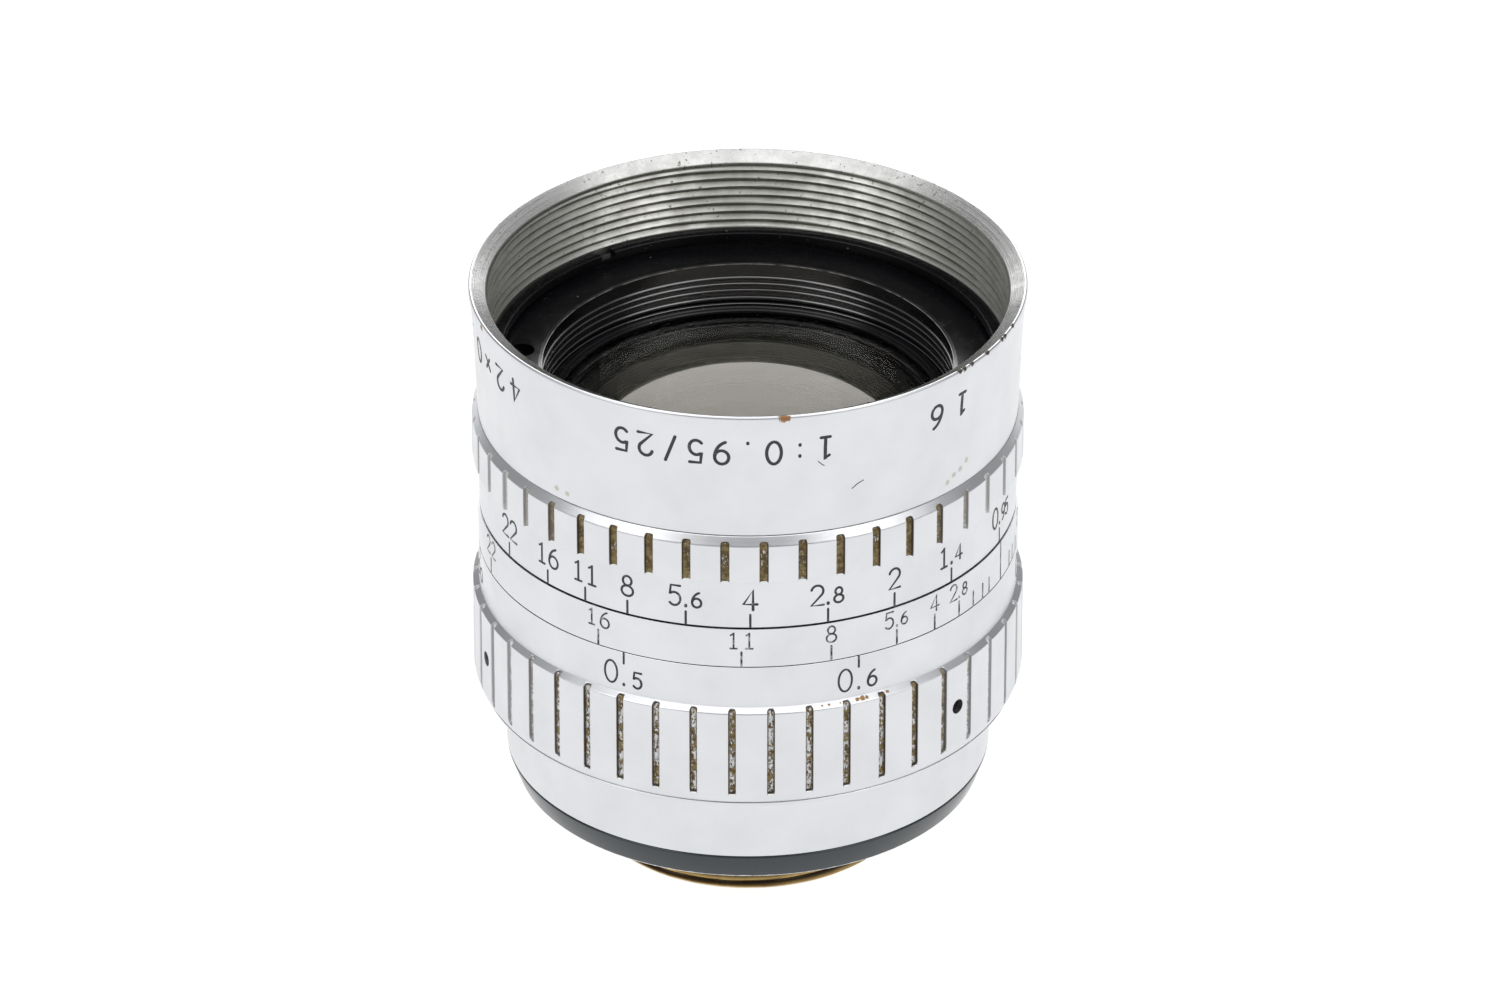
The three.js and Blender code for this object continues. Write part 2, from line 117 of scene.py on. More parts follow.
def around(bearing):
    """The angle about +Z, in radians, of a bearing."""
    return np.radians(np.asarray(bearing, float) - 90)


def bevelled(corners, steps=3):
    """The closed outline through corners of (radius, height, bevel), rounded where there is a bevel."""
    outline = []
    for i, (radius, height, *bevel) in enumerate(corners):
        corner = Vector((radius, height))
        if not bevel:
            outline.append(corner)
            continue
        before = Vector(corners[i - 1][:2]) - corner
        after = Vector(corners[(i + 1) % len(corners)][:2]) - corner
        start = corner + before.normalized() * bevel[0]
        end = corner + after.normalized() * bevel[0]
        for t in np.linspace(0, 1, steps + 1):
            outline.append(start.lerp(corner, t).lerp(corner.lerp(end, t), t))
    return [tuple(point) for point in outline]


def rows(start, end, step):
    """Points of a straight wall from one (radius, height) to another, no further apart than a step."""
    count = max(2, math.ceil(math.dist(start, end) / step))
    return [tuple(point) for point in np.linspace(start, end, count + 1)]


def evenly(sides=ROUND):
    return np.arange(sides) * 2 * np.pi / sides


def revolve(outline, angles, shape=None, closed=True):
    """Points, quads and depth of cut of an outline turned about Z. The shape moves the wall in or out."""
    outline = np.array(outline, float)
    turn, along = len(angles), len(outline)
    theta = np.repeat(angles[:, None], along, 1)
    smooth = np.repeat(outline[None, :, 0], turn, 0)
    height = np.repeat(outline[None, :, 1], turn, 0)
    radius = shape(smooth, height, theta) if shape else smooth
    points = np.stack([radius * np.cos(theta), radius * np.sin(theta), height], -1)
    i = np.arange(turn)[:, None]
    j = np.arange(along if closed else along - 1)[None, :]
    ahead, above = (i + 1) % turn, (j + 1) % along
    quads = [i * along + j, ahead * along + j, ahead * along + above, i * along + above]
    quads = np.stack(quads, -1).reshape(-1, 4)
    return points.reshape(-1, 3), quads, np.abs(smooth - radius).ravel()


def add_piece(name, points, faces, material, body, cut=None, sharp=35):
    mesh = bpy.data.meshes.new(name)
    mesh.from_pydata((np.asarray(points) * MM).tolist(), [], [tuple(int(i) for i in f) for f in faces])
    if cut is not None:
        depth = mesh.attributes.new("cut", "FLOAT", "POINT")
        depth.data.foreach_set("value", cut.astype(np.float32))
    mesh.polygons.foreach_set("use_smooth", [True] * len(mesh.polygons))
    piece = bpy.data.objects.new(name, mesh)
    bpy.context.scene.collection.objects.link(piece)
    weld(mesh)
    mesh.set_sharp_from_angle(angle=math.radians(sharp))
    piece.data.materials.append(material)
    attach(piece, body)
    return piece


def weld(mesh):
    """Joins the points that meet on the axis."""
    work = bmesh.new()
    work.from_mesh(mesh)
    bmesh.ops.remove_doubles(work, verts=work.verts, dist=1e-8)
    bmesh.ops.dissolve_degenerate(work, edges=work.edges, dist=1e-8)
    work.to_mesh(mesh)
    work.free()


def turned(name, outline, material, body, angles=None, shape=None, closed=True, sharp=35):
    """A turned piece. Its flat faces stay flat beside its bevels."""
    angles = evenly() if angles is None else angles
    points, quads, cut = revolve(outline, angles, shape, closed)
    piece = add_piece(name, points, quads, material, body, cut, sharp)
    weighted = piece.modifiers.new("flat faces", "WEIGHTED_NORMAL")
    weighted.keep_sharp = True
    return piece


def carve(piece, cutters):
    """Cuts solids out of a piece, for good."""
    weighted = piece.modifiers.get("flat faces")
    if weighted:
        piece.modifiers.remove(weighted)
    for cutter in cutters:
        boolean = piece.modifiers.new("cut", "BOOLEAN")
        boolean.operation = "DIFFERENCE"
        boolean.solver = "EXACT"
        boolean.object = cutter
    bpy.context.view_layer.update()
    shaped = piece.evaluated_get(bpy.context.evaluated_depsgraph_get())
    old = piece.data
    piece.data = bpy.data.meshes.new_from_object(shaped)
    piece.modifiers.clear()
    bpy.data.meshes.remove(old)
    piece.data.set_sharp_from_angle(angle=math.radians(35))
    for cutter in cutters:
        bpy.data.objects.remove(cutter)


def rod(centre, direction, radius, length, sides=32):
    """A plain round cutter, centred on a point."""
    work = bmesh.new()
    bmesh.ops.create_cone(
        work, cap_ends=True, segments=sides, radius1=radius * MM, radius2=radius * MM, depth=length * MM
    )
    mesh = bpy.data.meshes.new("cutter")
    work.to_mesh(mesh)
    work.free()
    cutter = bpy.data.objects.new("cutter", mesh)
    cutter.rotation_mode = "QUATERNION"
    cutter.rotation_quaternion = Vector(direction).to_track_quat("Z", "Y")
    cutter.location = Vector(centre) * MM
    bpy.context.scene.collection.objects.link(cutter)
    return cutter


def at(radius, bearing, height):
    angle = around(bearing)
    return Vector((radius * math.cos(angle), radius * math.sin(angle), height))


# ---------------------------------------------------------------- shapes of walls


def thread(crest, pitch, depth, low, high, inside=False):
    """A right-handed V thread on the wall at that crest radius, fading out at both ends."""

    def shape(radius, height, theta):
        turns = height / pitch - theta / (2 * np.pi)
        groove = np.abs(2 * (turns % 1) - 1)
        fade = np.clip((height - low) / 0.3, 0, 1) * np.clip((high - height) / 0.3, 0, 1)
        cut = depth * groove * fade * (np.abs(radius - crest) < 0.05)
        return radius + cut if inside else radius - cut

    return shape


def flutes(first, radius, low, high, width=FLUTE_WIDTH):
    """Flutes with nearly flat bottoms and a softened lip, running out at a blunt end."""
    half = width / 2
    pitch = 2 * np.pi / FLUTES

    def shape(wall, height, theta):
        off = np.abs((theta - first + pitch / 2) % pitch - pitch / 2) * radius / half
        end = np.clip((low + half - height) / half, 0, 1)
        end = np.maximum(end, np.clip((height - high + half) / half, 0, 1))
        floor = radius - FLUTE_DEPTH * np.sqrt(np.clip(1 - off**4 - end**4, 0, 1))
        lip = 0.035 * np.clip(1 - (off - 1) / 0.3, 0, 1) ** 2 * (off > 1) * (end < 1)
        return np.minimum(wall - lip * (wall > radius - 0.01), np.maximum(floor, 0))

    return shape


def flute_angles(first, radius, width=FLUTE_WIDTH):
    """Angles round a fluted ring, close together across each flute."""
    half = width / 2
    shares = [-1.3, -1.15, -1.0, -0.93, -0.75, -0.45, -0.15, 0.15, 0.45, 0.75, 0.93, 1.0, 1.15, 1.3]
    across = np.array(shares) * half / radius
    pitch = 2 * np.pi / FLUTES
    land = np.linspace(across[-1], pitch + across[0], 5)[1:-1]
    offsets = np.concatenate([across, land])
    return np.sort(np.concatenate([first + i * pitch + offsets for i in range(FLUTES)]))


# ---------------------------------------------------------------- engraving


def curve(x, y, width, height, start, end, steps=16):
    """Points of an ellipse's arc, by its half width and half height, from one angle to another."""
    return [
        (x + width * math.cos(t), y + height * math.sin(t))
        for t in np.radians(np.linspace(start, end, steps + 1))
    ]


# Each figure is a list of strokes, one unit tall and centred on x = 0.
FIGURES = {
    "0": [curve(0, 0.5, 0.28, 0.5, 90, 450, 24)],
    "1": [[(-0.16, 0.83), (0, 1), (0, 0)], [(-0.18, 0), (0.18, 0)]],
    "2": [curve(0, 0.71, 0.27, 0.29, 165, -38, 12) + [(-0.28, 0), (0.29, 0)]],
    "3": [curve(-0.02, 0.76, 0.24, 0.24, 150, -80, 12), curve(-0.02, 0.27, 0.28, 0.27, 80, -150, 14)],
    "4": [[(0.12, 0), (0.12, 1), (-0.3, 0.28), (0.3, 0.28)]],
    "5": [[(0.24, 1), (-0.18, 1), (-0.22, 0.54)] + curve(-0.02, 0.33, 0.27, 0.33, 130, -140, 14)],
    "6": [curve(0, 0.3, 0.27, 0.3, 180, 540, 20), curve(0.33, 0.3, 0.6, 0.72, 180, 108, 10)],
    "7": [[(-0.28, 1), (0.28, 1), (-0.08, 0)]],
    "8": [curve(0, 0.76, 0.21, 0.24, 90, 450, 18), curve(0, 0.26, 0.28, 0.26, 90, 450, 20)],
    "9": [curve(0, 0.7, 0.27, 0.3, 0, 360, 20), curve(-0.33, 0.7, 0.6, 0.72, 0, -72, 10)],
    ".": [[(0, 0.02), (0, 0.06)]],
    ":": [[(0, 0.2), (0, 0.24)], [(0, 0.7), (0, 0.74)]],
    "/": [[(-0.2, -0.05), (0.2, 1.05)]],
    "x": [[(-0.2, 0.2), (0.2, 0.7)], [(-0.2, 0.7), (0.2, 0.2)]],
    "infinity": [
        [
            (0.62 * math.cos(t) / (1 + math.sin(t) ** 2),
             0.42 + 0.8 * math.sin(t) * math.cos(t) / (1 + math.sin(t) ** 2))
            for t in np.linspace(0, 2 * math.pi, 33)
        ]
    ],
}


class Engraving:
    """Filled lines on a round wall, gathered into one mesh."""

    def __init__(self, wall):
        self.wall = wall
        self.points = []
        self.faces = []

    def line(self, path, width, bearing=0.0, height=0.0, turned_over=False):
        """One stroke. Its path is in millimetres from the place given, along the wall and up."""
        path = np.array(path, float)
        if turned_over:
            path = -path
        ahead = np.gradient(path, axis=0)
        ahead /= np.linalg.norm(ahead, axis=1)[:, None]
        left = np.stack([-ahead[:, 1], ahead[:, 0]], -1) * width / 2
        cap = [math.radians(d) for d in (45, 90, 135)]
        start = [path[0] - width / 2 * (math.sin(t) * ahead[0]) + math.cos(t) * left[0] for t in cap]
        end = [path[-1] + width / 2 * (math.sin(t) * ahead[-1]) + math.cos(t) * left[-1] for t in cap]
        first = len(self.points)
        sides = np.concatenate([path + left, path - left])
        self.points += [self.place(p, bearing, height) for p in sides]
        count = len(path)
        for i in range(count - 1):
            self.faces.append((first + i, first + count + i, first + count + i + 1, first + i + 1))
        for corner, points in ((0, start), (count - 1, end)):
            base = len(self.points)
            self.points += [self.place(p, bearing, height) for p in points]
            self.faces.append((first + corner, base, base + 1, base + 2, first + count + corner))

    def place(self, point, bearing, height):
        level = height + point[1]
        radius = self.wall(level) + 0.012
        angle = around(bearing) + point[0] / radius
        return (radius * math.cos(angle), radius * math.sin(angle), level)

    def figure(self, name, size, width, bearing, height, along=0.0, turned_over=False):
        for stroke in FIGURES[name]:
            path = [(along + x * size, y * size) for x, y in stroke]
            self.line(path, width, bearing, height, turned_over)

    def number(self, text, size, width, bearing, height, small=0.75, spacing=0.75):
        """A number centred on its bearing. A decimal's point is on the bearing, and what follows is small."""
        if "." in text:
            whole, decimals = text.split(".")
            step = size * 0.49
            self.figure(whole, size, width, bearing, height, -step)
            self.figure(".", size, width * 1.4, bearing, height)
            for i, digit in enumerate(decimals):
                self.figure(digit, size * small, width, bearing, height, step * (1 + i))
            return
        first = -(len(text) - 1) / 2
        for i, digit in enumerate(text):
            self.figure(digit, size, width, bearing, height, (first + i) * size * spacing)

    def piece(self, name, material, body, slot):
        return add_piece(name, self.points, self.faces, material, body)


# ---------------------------------------------------------------- materials


class Shader:
    """A material's nodes, with short ways to add the common ones."""

    def __init__(self, name):
        self.material = bpy.data.materials.new(name)
        self.material.use_nodes = True
        self.tree = self.material.node_tree
        self.surface = self.tree.nodes["Principled BSDF"]

    def node(self, kind, **settings):
        made = self.tree.nodes.new(kind)
        for key, value in settings.items():
            setattr(made, key, value)
        return made

    def feed(self, socket, value):
        if isinstance(value, bpy.types.NodeSocket):
            self.tree.links.new(value, socket)
        else:
            socket.default_value = value

    def set(self, **values):
        for name, value in values.items():
            self.feed(self.surface.inputs[name.replace("_", " ")], value)

    def math(self, operation, *values, clamp=False):
        made = self.node("ShaderNodeMath", operation=operation, use_clamp=clamp)
        for socket, value in zip(made.inputs, values):
            self.feed(socket, value)
        return made.outputs[0]

    def vector(self, operation, *values):
        made = self.node("ShaderNodeVectorMath", operation=operation)
        for socket, value in zip(made.inputs, values):
            self.feed(socket, value)
        return made.outputs["Value" if operation in ("LENGTH", "DISTANCE") else "Vector"]

    def position(self):
        """The place on the object, in millimetres."""
        place = self.node("ShaderNodeTexCoord").outputs["Object"]
        return self.vector("MULTIPLY", place, (1 / MM,) * 3)

    def axis(self, place, name):
        """One coordinate of a place: X, Y or Z."""
        split = self.node("ShaderNodeSeparateXYZ")
        self.feed(split.inputs[0], place)
        return split.outputs[name]

    def radius(self, place):
        """The distance of a place from the lens's axis."""
        return self.vector("LENGTH", self.vector("MULTIPLY", place, (1, 1, 0)))

    def noise(self, place, scale, detail=2.0, roughness=0.5, stretch=(1, 1, 1)):
        made = self.node("ShaderNodeTexNoise")
        self.feed(made.inputs["Vector"], self.vector("MULTIPLY", place, stretch))
        made.inputs["Scale"].default_value = scale
        made.inputs["Detail"].default_value = detail
        made.inputs["Roughness"].default_value = roughness
        return made.outputs["Fac"]

    def lathe_lines(self, place, spacing):
        """Fine random lines round the axis, as a cutting tool leaves them."""
        level = self.math("ADD", self.axis(place, "Z"), self.radius(place))
        made = self.node("ShaderNodeTexNoise", noise_dimensions="1D")
        self.feed(made.inputs["W"], level)
        made.inputs["Scale"].default_value = 1 / spacing
        made.inputs["Detail"].default_value = 3.0
        return made.outputs["Fac"]

    def between(self, value, low, high, to_low=0.0, to_high=1.0):
        made = self.node("ShaderNodeMapRange")
        for name, given in (
            ("Value", value), ("From Min", low), ("From Max", high), ("To Min", to_low), ("To Max", to_high)
        ):
            self.feed(made.inputs[name], given)
        return made.outputs["Result"]

    def mix(self, share, first, second):
        made = self.node("ShaderNodeMix", data_type="RGBA")
        self.feed(made.inputs["Factor"], share)
        for socket, colour in ((made.inputs[6], first), (made.inputs[7], second)):
            self.feed(socket, (*colour, 1) if isinstance(colour, tuple) else colour)
        return made.outputs[2]

    def blend(self, share, first, second):
        made = self.node("ShaderNodeMix", data_type="FLOAT")
        self.feed(made.inputs["Factor"], share)
        self.feed(made.inputs[2], first)
        self.feed(made.inputs[3], second)
        return made.outputs[0]

    def bump(self, height, distance, strength=1.0):
        made = self.node("ShaderNodeBump")
        self.feed(made.inputs["Height"], height)
        made.inputs["Distance"].default_value = distance * MM
        made.inputs["Strength"].default_value = strength
        self.feed(self.surface.inputs["Normal"], made.outputs["Normal"])

    def cut_depth(self):
        return self.node("ShaderNodeAttribute", attribute_name="cut").outputs["Fac"]


def satin_aluminium(name, colour=(0.70, 0.71, 0.73), roughness=0.34, flecks=0.5, spots=()):
    """Turned and satin-finished, with smears, and with brown grime in whatever is cut into it. The shallow
    walls of a cut are painted dark brown as painted shade.

    Flecks is how much of the grime has come away. Grime and painted shade are thinner towards
    ±X, the two sides. Spots are (bearing, height, radius, size, colour).
    """
    s = Shader(name)
    place = s.position()
    lines = s.lathe_lines(place, 0.09)
    smears = s.noise(place, 0.22, 4.0, 0.6)
    specks = s.noise(place, 5.0, 3.0, 0.7, (1, 1, 0.6))
    clean = s.mix(s.between(smears, 0.35, 0.7), colour, tuple(c * 0.95 for c in colour))

    depth = s.cut_depth()
    floor = s.between(depth, 0.22, 0.32)
    patchy = s.between(s.noise(place, 0.8, 2.0, 0.5), 0.38, 0.62, -0.06, 0.06)
    loose = s.math("ADD", specks, patchy)
    edge = 0.66 - 0.22 * flecks
    bare = s.math("MULTIPLY", floor, s.between(loose, edge, edge + 0.05, 0.0, 0.9))
    # Grime and painted shade in the cuts fall to 0.35 of their strength towards ±X.
    kept_share = s.between(s.math("ABSOLUTE", s.axis(place, "X")), 14.5, 18.5, 1.0, 0.35)
    kept_share = s.math("SUBTRACT", kept_share, bare, clamp=True)
    # grime_and_shade: brown grime in the cut, and painted shade, which colours the cut's walls dark brown
    # where the groove falls into shade.
    grime_and_shade = s.math("MULTIPLY", s.between(depth, 0.03, 0.10), kept_share)
    tone = s.math("SUBTRACT", s.noise(place, 2.4, 2.0, 0.6), patchy)
    gold = s.mix(s.between(tone, 0.42, 0.62), (0.13, 0.085, 0.03), (0.30, 0.23, 0.10))
    # The shallow part of a cut takes the dark brown of painted shade, and its deep floor takes the gold and
    # brown of grime.
    base = s.mix(grime_and_shade, clean, s.mix(floor, (0.05, 0.035, 0.02), gold))

    for bearing, height, radius, size, stain in spots:
        jitter = s.math("MULTIPLY", s.math("SUBTRACT", specks, 0.5), size * 1.6)
        away = s.vector("DISTANCE", place, tuple(at(radius, bearing, height)))
        worn = s.between(s.math("ADD", away, jitter), size, size * 0.75)
        base = s.mix(worn, base, stain)
        grime_and_shade = s.math("MAXIMUM", grime_and_shade, s.math("MULTIPLY", worn, 0.6))
    smoothness = s.between(smears, 0.3, 0.7, roughness - 0.05, roughness + 0.05)
    s.set(
        Base_Color=base,
        Metallic=s.between(grime_and_shade, 0.0, 1.0, 1.0, 0.2),
        Roughness=s.math("ADD", smoothness, s.math("MULTIPLY", grime_and_shade, 0.3)),
        Anisotropic=0.35,
    )
    tangent = s.node("ShaderNodeTangent", direction_type="RADIAL", axis="Z")
    s.feed(s.surface.inputs["Tangent"], tangent.outputs[0])
    s.bump(s.math("ADD", lines, s.math("MULTIPLY", specks, s.math("MULTIPLY", grime_and_shade, 5.0))), 0.004)
    return s.material


def dull_thread(name, colour=(0.54, 0.54, 0.51), roughness=0.42):
    """Bare metal inside the rim, greyed and specked with age, with olive dirt and painted shade in the
    thread's roots.
    """
    s = Shader(name)
    place = s.position()
    patches = s.noise(place, 0.5, 4.0, 0.65)
    # dirt_and_shade: olive dirt, and painted shade that darkens the thread's roots by depth of cut.
    dirt_and_shade = s.math("MULTIPLY", s.between(s.cut_depth(), 0.08, 0.34), s.between(patches, 0.3, 0.6, 0.5, 1.0))
    clean = s.mix(s.between(patches, 0.35, 0.65), colour, tuple(c * 0.8 for c in colour))
    specks = s.between(s.noise(place, 2.6, 2.0, 0.6), 0.66, 0.70, 0.0, 0.8)
    dirt_and_shade = s.math("MAXIMUM", dirt_and_shade, specks)
    s.set(
        Base_Color=s.mix(dirt_and_shade, clean, s.mix(specks, (0.21, 0.205, 0.165), (0.07, 0.06, 0.035))),
        Metallic=s.between(dirt_and_shade, 0.0, 1.0, 1.0, 0.5),
        Roughness=s.between(patches, 0.3, 0.7, roughness - 0.07, roughness + 0.07),
    )
    s.bump(s.lathe_lines(place, 0.08), 0.006)
    return s.material


def brass(name):
    s = Shader(name)
    place = s.position()
    patches = s.noise(place, 0.6, 3.0, 0.6)
    # The thread's roots are painted dark brown by depth of cut, as dirt and as painted shade.
    dirt_and_shade = s.between(s.cut_depth(), 0.06, 0.30)
    clean = s.mix(s.between(patches, 0.35, 0.65), (0.62, 0.44, 0.17), (0.46, 0.31, 0.12))
    s.set(
        Base_Color=s.mix(dirt_and_shade, clean, (0.05, 0.03, 0.014)),
        Metallic=s.between(dirt_and_shade, 0.0, 1.0, 1.0, 0.4),
        Roughness=s.between(patches, 0.3, 0.7, 0.24, 0.42),
    )
    s.bump(s.lathe_lines(place, 0.07), 0.005)
    return s.material


def black_anodised(name, roughness=0.3, worn_edge=None):
    """Black with a low sheen and dust specks.

    A worn edge (radius, height) shows bare metal, and the bore below it is polished.
    """
    s = Shader(name)
    place = s.position()
    patches = s.noise(place, 0.7, 3.0, 0.6)
    dust = s.between(s.noise(place, 2.6, 1.0, 0.4), 0.79, 0.81)
    base = s.mix(s.math("MULTIPLY", dust, 0.7), (0.004, 0.004, 0.005), (0.22, 0.21, 0.19))
    gloss = 0.3
    dullness = s.between(patches, 0.3, 0.7, roughness - 0.06, roughness + 0.10)
    if worn_edge:
        across = s.math("ABSOLUTE", s.math("SUBTRACT", s.radius(place), worn_edge[0]))
        along = s.math("ABSOLUTE", s.math("SUBTRACT", s.axis(place, "Z"), worn_edge[1]))
        edge = s.between(s.math("MAXIMUM", across, along), 0.08, 0.03)
        edge = s.math("MULTIPLY", edge, s.between(patches, 0.40, 0.55, 0.15, 1.0))
        base = s.mix(edge, base, (0.42, 0.42, 0.40))
        bore = s.between(across, 0.35, 0.3)
        gloss = s.blend(bore, gloss, 1.8)
        dullness = s.blend(bore, dullness, 0.15)
    s.set(Base_Color=base, Roughness=dullness, Specular_IOR_Level=gloss)
    s.bump(s.lathe_lines(place, 0.10), 0.006)
    return s.material


def black_enamel(name, bare_below):
    """Glossy slate-black enamel over metal that shows bare at its lower edge."""
    s = Shader(name)
    place = s.position()
    patches = s.noise(place, 0.5, 3.0, 0.6)
    raggedness = s.between(s.noise(place, 2.0, 3.0), 0.3, 0.7, -0.05, 0.05)
    ragged = s.math("ADD", s.axis(place, "Z"), raggedness)
    bare = s.between(ragged, bare_below + 0.03, bare_below)
    s.set(
        Base_Color=s.mix(bare, (0.020, 0.028, 0.034), (0.72, 0.72, 0.71)),
        Metallic=bare,
        Roughness=s.between(patches, 0.3, 0.7, 0.14, 0.28),
        Specular_IOR_Level=0.4,
        Coat_Weight=0.2,
        Coat_Roughness=0.08,
    )
    s.bump(s.lathe_lines(place, 0.15), 0.004)
    return s.material


def steel(name, colour=(0.36, 0.36, 0.37), roughness=0.35):
    s = Shader(name)
    place = s.position()
    patches = s.noise(place, 1.6, 4.0, 0.65)
    s.set(
        Base_Color=s.mix(s.between(patches, 0.35, 0.65), colour, tuple(c * 0.7 for c in colour)),
        Metallic=1.0,
        Roughness=s.between(patches, 0.3, 0.7, roughness - 0.08, roughness + 0.12),
    )
    s.bump(s.lathe_lines(place, 0.06), 0.004)
    return s.material


def optical_glass(name, index):
    """Polished glass with a few specks of dust."""
    s = Shader(name)
    dust = s.between(s.noise(s.position(), 2.2, 1.0, 0.5), 0.80, 0.82, 0.0, 0.25)
    s.set(
        Base_Color=s.mix(dust, (0.97, 0.98, 0.96), (0.75, 0.73, 0.68)),
        Roughness=dust,
        IOR=index,
        Transmission_Weight=1.0,
        Specular_Tint=(1.0, 0.92, 0.82, 1),
    )
    return s.material


def engraving_paint(name, worn):
    """Black filler in cut figures, rubbed away here and there."""
    s = Shader(name)
    wear = s.noise(s.position(), 1.8, 4.0, 0.7)
    rubbed = s.between(wear, 0.62 - worn * 0.3, 0.74 - worn * 0.3, 0.0, 0.6 + worn * 0.3)
    s.set(
        Base_Color=s.mix(rubbed, (0.022, 0.022, 0.026), (0.48, 0.48, 0.49)),
        Metallic=s.math("MULTIPLY", rubbed, 0.6),
        Roughness=0.5,
    )
    return s.material


# ---------------------------------------------------------------- outside pieces


def build_front_barrel():
    inner = dull_thread("rim inside")
    chamfer = dull_thread("rim chamfer", (0.57, 0.57, 0.56), 0.22)
    copper, dark = (0.30, 0.15, 0.06), (0.06, 0.05, 0.045)
    grey = (0.55, 0.56, 0.50)
    rust = ((7.2, 48.95, 0.4), (7.9, 48.9, 0.3), (-71, 48.7, 0.3))
    nicks = (48.5, 50.0, 52.5, 58.0, 64.5, 66.0, 70.5)
    scuffs = ((46.5, 39.1), (48.5, 39.5), (50.5, 39.7), (52.5, 40.2), (-44, 39.0), (-41, 38.9))
    spots = [(bearing, height, 22.1, size, copper) for bearing, height, size in rust]
    spots += [(bearing, 49.0, 22.0, 0.28, dark) for bearing in nicks]
    spots += [(bearing, height, 21.6, 0.26, grey) for bearing, height in scuffs]
    outer = satin_aluminium("front barrel satin", spots=spots)
    outline = bevelled(
        [
            (19.3, 38.16),
            (21.52, 38.16, 0.04),
            *FLARE[1:],
            (22.15, RIM_TOP, 0.2),
            (21.95, RIM_TOP, 0.08),
            (20.75, 48.41, 0.08),
        ]
    )
    threaded = rows((FILTER_CREST, 48.2), (FILTER_CREST, 42.5), 0.055)
    outline += threaded + [(FILTER_CREST, 39.85), (19.3, 39.85)]
    shape = thread(FILTER_CREST, FILTER_PITCH, 0.3, 42.5, 48.35, inside=True)
    piece = turned("front_barrel_shell", outline, outer, "head", shape=shape)
    piece.data.materials.append(inner)
    piece.data.materials.append(chamfer)
    for face in piece.data.polygons:
        radius = math.hypot(face.center.x, face.center.y)
        if inside_rim(face) and face.center.z > 40 * MM:
            face.material_index = 1 if radius < 20.8 * MM or face.center.z < 48.3 * MM else 2
    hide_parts("front_barrel")

    def wall_radius(height):
        return float(np.interp(height, [z for _, z in FLARE], [r for r, _ in FLARE]))

    marks = Engraving(wall_radius)
    level = 46.75
    engrave_round(marks, "1:0.95/25", 16.0, -26.7, level)
    engrave_round(marks, "16", 50.0, 42.5, level)
    engrave_round(marks, "42x0.75", -56.5, -95, level)
    for bearing, height, path in (
        (14.5, 44.6, [(0, 0), (0.35, -0.35), (0.5, -0.45)]),
        (22.0, 41.6, [(0, 0), (0.45, 0.35), (0.95, 0.55)]),
    ):
        marks.line(path, 0.07, bearing, height)
    marks.piece("front_barrel_engraving", engraving_paint("barrel filler", 0.0), "head", "satin_aluminium")


def inside_rim(face):
    """Whether a face looks towards the axis."""
    x, y, _ = face.center
    return x * face.normal.x + y * face.normal.y < 0


def engrave_round(marks, text, start, end, level, size=2.05, width=0.27):
    """Text that stands on the rim's side, so it reads from the front of the lens, end to end."""
    for bearing, figure in zip(np.linspace(start, end, len(text)), text):
        marks.figure(figure, size, width, float(bearing), level, turned_over=True)


def build_aperture_ring():
    low, high, radius = APERTURE_KNURL
    first = around(FIRST_APERTURE_FLUTE)
    outline = bevelled(
        [
            (19.3, DEPTH_TOP + 0.13),
            (APERTURE_SCALE_RADIUS, DEPTH_TOP + 0.13, 0.02),
            (APERTURE_SCALE_RADIUS, DEPTH_TOP + 0.3),
            (APERTURE_SCALE_RADIUS, low - 0.2),
            (APERTURE_SCALE_RADIUS, low - 0.02, 0.03),
            (radius - 0.02, low, 0.05),
        ]
    )
    outline += rows((radius, low + 0.1), (radius, high - 0.04), 0.12)
    outline += rows((radius - 0.03, high + 0.03), (21.52, 38.06), 0.06)
    outline += [(21.4, 38.12), (19.3, 38.12)]
    shape = flutes(first, radius, low - 0.6, high + 0.34)
    angles = flute_angles(first, radius)
    material = satin_aluminium("aperture ring satin", flecks=0.15)
    piece = turned("aperture_ring_body", outline, material, "aperture", angles, shape)
    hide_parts("aperture_ring")

    marks = Engraving(lambda height: APERTURE_SCALE_RADIUS)
    for text, bearing in APERTURE_MARKS.items():
        marks.line([(0, 29.85), (0, 30.98)], 0.19, bearing)
        stroke = 0.24 if text == "4" else 0.2
        marks.number(text, 1.8, stroke, bearing, 31.42)
    marks.piece("aperture_figures", engraving_paint("aperture filler", 0.1), "aperture", "satin_aluminium")


def build_depth_ring():
    outline = bevelled(
        [
            (19.3, FOCUS_TOP + 0.09),
            (SCALE_RADIUS, FOCUS_TOP + 0.09, 0.02),
            (SCALE_RADIUS, DEPTH_TOP, 0.02),
            (19.3, DEPTH_TOP),
        ]
    )
    material = satin_aluminium("depth ring satin")
    piece = turned("depth_scale_ring_body", outline, material, "head")
    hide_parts("depth_scale_ring")

    marks = Engraving(lambda height: SCALE_RADIUS)
    low = FOCUS_TOP + 0.12
    for text, stop in (("22", 22), ("16", 16), ("11", 11), ("8", 8), ("5.6", 5.6), ("4", 4), ("2.8", 2.8)):
        for side in (-1, 1):
            bearing = INDEX_BEARING + side * stop * DEPTH_PER_STOP
            marks.line([(0, low), (0, low + 1.3)], 0.17, bearing)
            marks.number(text, 1.45, 0.15, bearing, 27.95, spacing=0.85)
    for stop in (2, 1.4, 0.95):
        for side in (-1, 1):
            marks.line([(0, low), (0, low + 1.3)], 0.15, INDEX_BEARING + side * stop * DEPTH_PER_STOP)
    marks.line([(0, low), (0, DEPTH_TOP - 0.05)], 0.16, INDEX_BEARING)
    marks.piece("depth_figures", engraving_paint("depth filler", 0.45), "head", "satin_aluminium")


